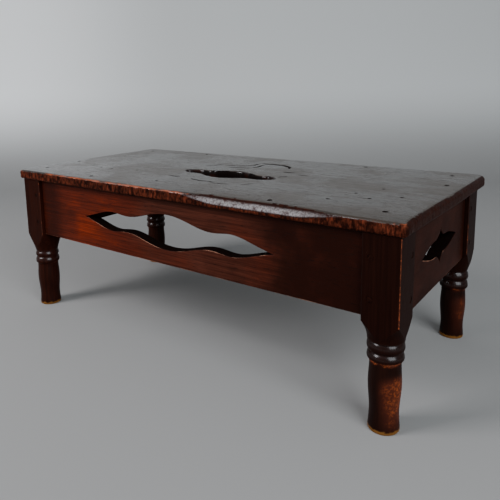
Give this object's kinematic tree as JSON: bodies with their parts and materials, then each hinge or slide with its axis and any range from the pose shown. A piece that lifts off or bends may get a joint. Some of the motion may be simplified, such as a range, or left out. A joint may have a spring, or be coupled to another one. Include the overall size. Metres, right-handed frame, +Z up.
{
  "type": "joined footstool",
  "caption": "Low oak footstool: nailed board top with a waisted hand hole, turned legs left square at the top, and pierced friezes tenoned and pegged into them.",
  "frame": {"origin": "on the floor under the middle of the stool", "axes": "+X along the stool's length, +Y from the front frieze to the back frieze, +Z up"},
  "size_m": [0.46, 0.2176, 0.165],
  "materials": {
    "board": "waxed and polished oak, dark brown, worn to red-brown along its edges",
    "frieze": "stained oak, red-brown with darker grain, polished by handling",
    "post": "stained and polished oak, nearly black, worn to orange-brown on the arrises and rings",
    "peg": "dark riven oak end grain, flush with the post",
    "nail": "hand-wrought iron, dark and dull"
  },
  "bodies": {
    "root": {"top_board": "board", "front_frieze": "frieze", "back_frieze": "frieze", "left_frieze": "frieze", "right_frieze": "frieze", "leg_front_left": "post", "peg_front_left_side_low": "peg", "peg_front_left_side_high": "peg", "peg_front_left_end_low": "peg", "peg_front_left_end_high": "peg", "leg_front_right": "post", "peg_front_right_side_low": "peg", "peg_front_right_side_high": "peg", "peg_front_right_end_low": "peg", "peg_front_right_end_high": "peg", "leg_back_left": "post", "peg_back_left_side_low": "peg", "peg_back_left_side_high": "peg", "peg_back_left_end_low": "peg", "peg_back_left_end_high": "peg", "leg_back_right": "post", "peg_back_right_side_low": "peg", "peg_back_right_side_high": "peg", "peg_back_right_end_low": "peg", "peg_back_right_end_high": "peg", "nail_front_left_post": "nail", "nail_front_right_post": "nail", "nail_back_left_post": "nail", "nail_back_right_post": "nail", "nail_front_frieze_left": "nail", "nail_front_frieze_right": "nail", "nail_back_frieze_left": "nail", "nail_back_frieze_right": "nail", "nail_left_frieze": "nail", "nail_right_frieze": "nail"}
  },
  "joints": []
}
